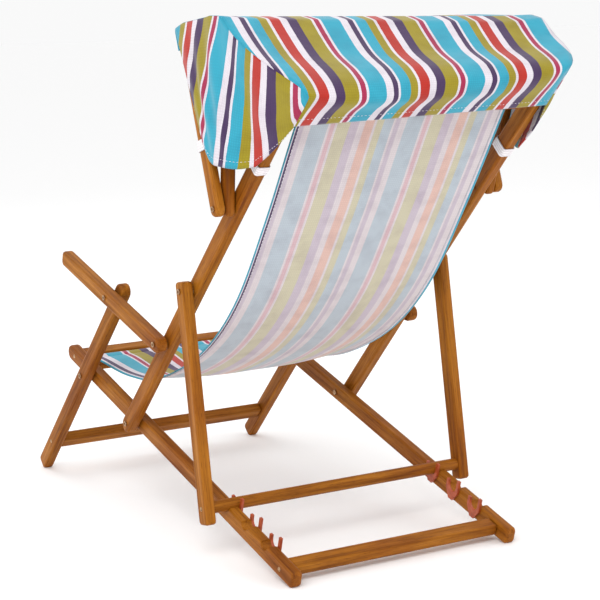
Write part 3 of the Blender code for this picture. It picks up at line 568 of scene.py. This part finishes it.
def hoop_corner(lean, forward):
    along = side(pi / 2 + lean)
    across = Vector((-along.y, along.x))
    top = HOOP_PIVOT + along * (HOOP_LENGTH + CLOTH_CLEAR)
    return top + across * forward * (HOOP_WIDTH / 2 + CLOTH_CLEAR)


def canopy_line(hand, soft):
    """One side's line from the front valance over both hoops to the back skirt.

    The seam stays crisp where it turns down behind the rails; soft is the line the free cloth takes.
    """
    over_front = [hoop_corner(FRONT_LEAN, end) for end in (1, -1)]
    over_rear = [hoop_corner(REAR_LEAN[hand], end) for end in (1, -1)]
    places = [over_front[0] - side(pi / 2 + FRONT_LEAN, VALANCE), *over_front, *over_rear]
    at = [np.array((hand * PANEL_X, place.x, place.y)) for place in places]
    line = [at[0][None]]
    for first, last, count in zip(at, at[1:], FRONT_ROWS):
        line.append(np.array([first + (last - first) * (k + 1) / count for k in range(count)]))
    kink = back_point(KINK_REACH, KINK_BEHIND) - Vector((0, hand * KINK_SKEW))
    hem = kink - BACK_UP * SKIRT[hand]
    run = kink - over_rear[1]
    out = Vector((-run.y, run.x)).normalized()
    if soft:
        turns = [
            (0.25, -0.005, PANEL_X), (0.50, -0.007, 0.306), (0.74, 0.002, 0.292), (0.93, 0.0045, 0.281),
        ]
        tail = [kink + Vector((0.003, -0.016)), kink + (hem - kink) * 0.60 + BACK_BEHIND * 0.004, hem]
    elif hand > 0:
        turns = [(0.30, 0.0, PANEL_X), (0.62, 0.004, 0.306), (0.90, 0.005, 0.283), (0.985, 0.001, 0.2755)]
        tail = [kink - BACK_UP * 0.006, hem]
    else:
        turns = [(0.30, 0.000, 0.3155), (0.62, 0.005, 0.3060), (0.88, 0.007, 0.288), (0.98, 0.002, 0.2735)]
        tail = [kink - BACK_UP * 0.014, hem]
    bends = [tuple(at[-1])]
    for share, rise, x in turns:
        place = over_rear[1] + run * share + out * rise
        bends.append((hand * x, place.x, place.y))
    bends += [(hand * KINK_X, place.x, place.y) for place in tail]
    line.append(resampled(spread(bends, 12), REAR_ROWS + 1)[1:])
    line = np.concatenate(line)
    for _ in range(2):
        line[1:-1] = (line[:-2] + 2 * line[1:-1] + line[2:]) / 4
    return line


def canopy_grid():
    """Points and UVs of the top cloth, from the valance hem to the skirt hem and from right to left."""
    crisp = {hand: canopy_line(hand, False) for hand in (1, -1)}
    free = {hand: canopy_line(hand, True) for hand in (1, -1)}
    share = np.linspace(0, 1, TOP_CELLS + 1)
    points = np.zeros((TOP_ROWS, TOP_CELLS + 1, 3))
    for j, s in enumerate(share):
        loose = 1 - abs(2 * s - 1) ** 5
        seam = crisp[-1] * (1 - s) + crisp[1] * s
        points[:, j] = seam * (1 - loose) + (free[-1] * (1 - s) + free[1] * s) * loose
    middle = points[:, TOP_CELLS // 2]
    reached = measured(middle)
    uv = np.zeros((TOP_ROWS, TOP_CELLS + 1, 2))
    bars = np.cumsum(FRONT_ROWS)
    front, rear_first, rear_last = reached[bars[1]], reached[bars[2]], reached[bars[3]]
    for i in range(TOP_ROWS):
        lean = STRIPE_LEAN * max(0.0, reached[i] - rear_last) / (reached[-1] - rear_last)
        for j, s in enumerate(share):
            inner = 1 - (2 * s - 1) ** 2
            drop = 0.0
            if front < reached[i] < rear_first:
                drop = 0.007 * sin(pi * (reached[i] - front) / (rear_first - front)) * inner
            # The seams' corners stand up a little beside the hoop's bar.
            end = max(0.0, abs(2 * s - 1) - 0.8) / 0.2
            near = max(0.0, 1 - abs(reached[i] - rear_last) / 0.05)
            lift = (0.008 if s < 0.5 else 0.004) * end * near
            behind = max(0.0, min(1.0, (reached[i] - rear_last - 0.02) / 0.08))
            crease = noise.noise(Vector((s * 7.0, reached[i] * 5.0, 1.3))) * 0.0045 * behind
            crease += noise.noise(Vector((s * 16.0, reached[i] * 6.0, 4.1))) * 0.0016 * behind
            hem_wave = noise.noise(Vector((s * 8.0, 0.0, 7.7))) * 0.004
            hem_wave *= max(0.0, 1 - (reached[-1] - reached[i]) / 0.05)
            crease = abs(crease) * min(1.0, s * 14, (1 - s) * 14)
            points[i, j, 2] += lift - drop
            points[i, j, 1] += crease + abs(hem_wave) * min(1.0, s * 14, (1 - s) * 14)
            # The cloth is cut straight, so the seams cross its stripes where the skirt narrows.
            uv[i, j] = (STRIPE_SPREAD * (PANEL_X - points[i, j, 0]) + lean, reached[i])
    return points, uv, normals_of(points)


def panel_hem(hand, seam_end):
    """The side panel's lower edge, from the front arm's elastic to the skirt's corner."""
    arm = side(pi / 2 + FRONT_LEAN)
    band = HOOP_PIVOT + arm * (HOOP_LENGTH - PANEL_DROP) + Vector((arm.y, -arm.x)) * 0.013
    corners = [
        (PANEL_X + 0.0010, band),
        (PANEL_X + 0.0015, HOOP_PIVOT + Vector((0.004, 0.083))),
        (PANEL_X + 0.0010, HOOP_PIVOT + Vector((0.038, 0.0775))),
        (0.303, HOOP_PIVOT + Vector((0.072, 0.075))),
        (0.2825, HOOP_PIVOT + Vector((0.101, 0.080))),
    ]
    path = spread([(hand * x, place.x, place.y) for x, place in corners], 8)
    halfway = (path[-1] + np.array(seam_end)) / 2 + np.array((hand * 0.002, 0.004, -0.003))
    return np.concatenate([path, spread([path[-1], halfway, seam_end], 8)[1:]])


def side_panel(hand, seam):
    """The cloth that hangs from the seam beside the hoops, drawn in at its two elastic bands."""
    columns = len(seam)
    reached = measured(seam)
    path = panel_hem(hand, seam[-1])
    along = measured(path)
    wanted = reached / reached[-1] * along[-1]
    hem = np.stack([np.interp(wanted, along, path[:, axis]) for axis in range(3)], 1)
    kink = back_point(KINK_REACH, KINK_BEHIND)
    points = np.zeros((PANEL_ROWS, columns, 3))
    uv = np.zeros((PANEL_ROWS, columns, 2))
    for i in range(PANEL_ROWS):
        v = i / (PANEL_ROWS - 1)
        for j in range(columns):
            t = reached[j] / reached[-1]
            place = seam[j] * (1 - v) + hem[j] * v
            # Gathered at the front arm's band, the cloth keeps long folds that fan down from the seam.
            fan = sin(pi * min(1.0, t / 0.42)) * sin(pi * min(1.0, v * 0.9 + 0.08))
            fold = (0.5 + 0.5 * sin(t * 52 - v * 3.0)) * 0.0050 * max(0.0, fan)
            belly = 0.005 * sin(pi * v) * sin(pi * min(1.0, t * 1.2))
            ripple = noise.noise(Vector((t * 7.0, v * 2.0, hand * 3.0)))
            ripple *= 0.006 * sin(pi * v) * min(1.0, t * 6)
            points[i, j] = place + np.array((hand * max(0.0, belly + fold + ripple), 0, 0))
            # The panel is cut on the skew, so its stripes lean with the front arm.
            leaning = place[1] - kink.x - PANEL_STRIPE_LEAN * (place[2] - kink.y)
            uv[i, j] = (PANEL_STRIPE_SPREAD * leaning, (1 - v) * 0.2)
    return points, uv


def hem_strip(name, points, uv, face, rows, inward, depth=0.0012):
    """The folded hem inside the last rows of a sheet."""
    normal = normals_of(points)
    strip = points[-rows:] + normal[-rows:] * inward * depth
    return cloth_piece(name, strip, uv[-rows:].copy(), [face], 0.0009)


def canopy(face, panel_faces, thread):
    points, uv, normal = canopy_grid()
    top = cloth_piece("canopy_top", points, uv, [face])
    outward = np.sign(normal[TOP_ROWS // 2, TOP_CELLS // 2, 2])
    pieces = {"top": [top], "left": [], "right": []}
    pieces["top"].append(hem_strip("canopy_skirt_hem", points, uv, face, 5, -outward))
    pieces["top"].append(hem_strip("canopy_valance_hem", points[::-1], uv[::-1], face, 5, outward))
    for row, name in ((-5, "skirt"), (4, "valance")):
        lift = normal[row] * outward
        line = points[row] + lift * 0.0007
        pieces["top"].append(stitches(f"canopy_{name}_stitches", line, lift, thread))
    start = FRONT_ROWS[0]
    for name, hand in SIDES.items():
        seam = points[start:, -1 if hand > 0 else 0]
        grid, grid_uv = side_panel(hand, seam)
        panel = cloth_piece(f"canopy_side_{name}", grid, grid_uv, [panel_faces[name]])
        lift = normals_of(grid)
        outer = np.sign(lift[PANEL_ROWS // 2, len(seam) // 2, 0]) * hand
        lift = lift * outer
        hem = hem_strip(f"canopy_side_hem_{name}", grid, grid_uv, panel_faces[name], 4, -outer)
        line = grid[-3, 3:-6] + lift[-3, 3:-6] * 0.0007
        sewn = stitches(f"canopy_side_stitches_{name}", line, lift[-3, 3:-6], thread)
        pieces[name] = [panel, hem, sewn]
    return pieces, measured(points[:, TOP_CELLS // 2])[-1]


def elastic_band(name, place, x, lean, width, thickness, surface):
    """A soft knitted loop round a bar, with rounded corners and slightly rolled edges."""
    columns, rows = 48, 9
    half = (width / 2 + 0.0012, thickness / 2 + 0.0012)
    radius = 0.0042
    along = side(lean)
    across = Vector((-along.y, along.x))
    outline = []
    for quarter, (sx, sy) in enumerate(((1, 1), (-1, 1), (-1, -1), (1, -1))):
        for step in range(columns // 4):
            angle = quarter * pi / 2 + step / (columns // 4 - 1) * pi / 2
            outline.append((
                sx * (half[0] - radius) + radius * cos(angle),
                sy * (half[1] - radius) + radius * sin(angle),
            ))
    outline = np.array(outline)
    round_trip = measured(np.vstack([outline, outline[:1]]))
    points = np.zeros((rows, columns, 3))
    uv = np.zeros((rows, columns, 2))
    for i in range(rows):
        v = 2 * i / (rows - 1) - 1
        for j, (a, b) in enumerate(outline):
            grow = 1 + 0.02 * (1 - v * v) + 0.01 * noise.noise(Vector((j * 0.4, v, x * 40)))
            shift = v * ELASTIC_WIDTH / 2 * (1 + 0.05 * noise.noise(Vector((j * 0.25, 3.0, x * 30))))
            spot = place + along * shift + across * a * grow
            points[i, j] = (x + b * grow, spot.x, spot.y)
            uv[i, j] = (v * ELASTIC_WIDTH / 2, round_trip[j])
    return cloth_piece(name, points, uv, [surface], 0.0012, closed=True)


def build_cloth():
    face = striped_cotton("striped_cotton_canopy", FACE_DYES, 110 * MM, 0.35)
    sling_face = striped_cotton("striped_cotton_sling_face", FACE_DYES, 119 * MM, 0.35)
    sling_back = striped_cotton("striped_cotton_sling_back", BACK_DYES, 119 * MM, 0.35)
    panel_faces = {
        "left": striped_cotton("striped_cotton_left_panel", FACE_DYES, 104 * MM, 0.35),
        "right": striped_cotton("striped_cotton_right_panel", FACE_DYES, 104 * MM, 0.35),
    }
    thread = sewing_thread()
    elastic = knitted_elastic()
    sling_pieces, sling_length = sling(sling_face, sling_back, thread)
    for piece in sling_pieces:
        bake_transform(piece)
    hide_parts("sling")
    for name, body in (("front", "seat_frame"), ("top", "back_frame")):
        tube = pocket(f"sling_pocket_{name}", f"{name}_hem_rod", sling_face)
        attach(tube, body)
    pieces, top_length = canopy(face, panel_faces, thread)
    for group in pieces.values():
        for piece in group:
            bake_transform(piece)
    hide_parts("canopy")
    arm = side(pi / 2 + FRONT_LEAN)
    for name, hand in SIDES.items():
        at_arm = side_point(f"arm_elastic_{name}")
        at_rail = side_point(f"rail_elastic_{name}")
        arm_band = elastic_band(f"elastic_arm_band_{name}", at_arm, hand * FRONT_HOOP_X, pi / 2 + FRONT_LEAN,
                                HOOP_WIDTH, HOOP_THICKNESS, elastic)
        rail_band = elastic_band(f"elastic_rail_band_{name}", at_rail, hand * MIDDLE_X, BACK_RISE,
                                 BAR_WIDTH, BAR_THICKNESS, elastic)
        for band, node, body in (
            (arm_band, f"arm_elastic_{name}", "canopy_front_hoop"),
            (rail_band, f"rail_elastic_{name}", "back_frame"),
        ):
            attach(band, body)
            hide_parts(node)


# --- Camera, floor and light -----------------------------------------------------------------------
def camera():
    """Three quarters from behind, from a little above, with a long lens."""
    turn, rise, roll = radians(149.06), radians(9.67), -0.0175
    target = Vector((0, BACK_PIVOT.x + 0.2353, BACK_PIVOT.y + 0.2574))
    back = Vector((sin(turn) * cos(rise), -cos(turn) * cos(rise), sin(rise)))
    level = (-back).cross(Vector((0, 0, 1))).normalized()
    up = level.cross(-back)
    right = level * cos(roll) + up * sin(roll)
    up = up * cos(roll) - level * sin(roll)
    data = bpy.data.cameras.new("camera")
    data.sensor_width = 36
    data.lens = 111.81
    obj = bpy.data.objects.new("camera", data)
    turned = Matrix((right, up, back)).transposed().to_4x4()
    obj.matrix_world = Matrix.Translation(target + back * 3.6609) @ turned
    bpy.context.scene.collection.objects.link(obj)
    bpy.context.scene.camera = obj


def floor():
    """A seamless pale studio floor."""
    mesh = bpy.data.meshes.new("studio_floor")
    mesh.from_pydata([(-30, -30, 0), (30, -30, 0), (30, 30, 0), (-30, 30, 0)], [], [(0, 1, 2, 3)])
    made, tree, shader = new_material("pale_studio_paper", 0.95)
    shader.inputs["Base Color"].default_value = linear("#FFFFFF")
    mesh.materials.append(made)
    obj = bpy.data.objects.new("studio_floor", mesh)
    bpy.context.scene.collection.objects.link(obj)


def lights():
    world = bpy.data.worlds.new("studio")
    bpy.context.scene.world = world
    world.use_nodes = True
    background = world.node_tree.nodes["Background"]
    background.inputs["Color"].default_value = linear("#FFFFFF")
    background.inputs["Strength"].default_value = 0.95
    target = Vector((0, 0, 0.5))
    for name, place, size, power in (
        ("key", (2.6, 2.4, 3.4), 2.4, 75),
        ("fill", (-3.0, 2.0, 2.0), 3.0, 22),
        ("rim", (0.5, -3.2, 3.0), 2.5, 30),
    ):
        data = bpy.data.lights.new(name, "AREA")
        data.size = size
        data.energy = power
        obj = bpy.data.objects.new(name, data)
        obj.location = place
        obj.rotation_mode = "QUATERNION"
        obj.rotation_quaternion = (target - Vector(place)).to_track_quat("-Z", "Y")
        bpy.context.scene.collection.objects.link(obj)


finish_nodes()
build_cloth()
camera()
floor()
lights()
bpy.context.scene.view_settings.view_transform = "Standard"
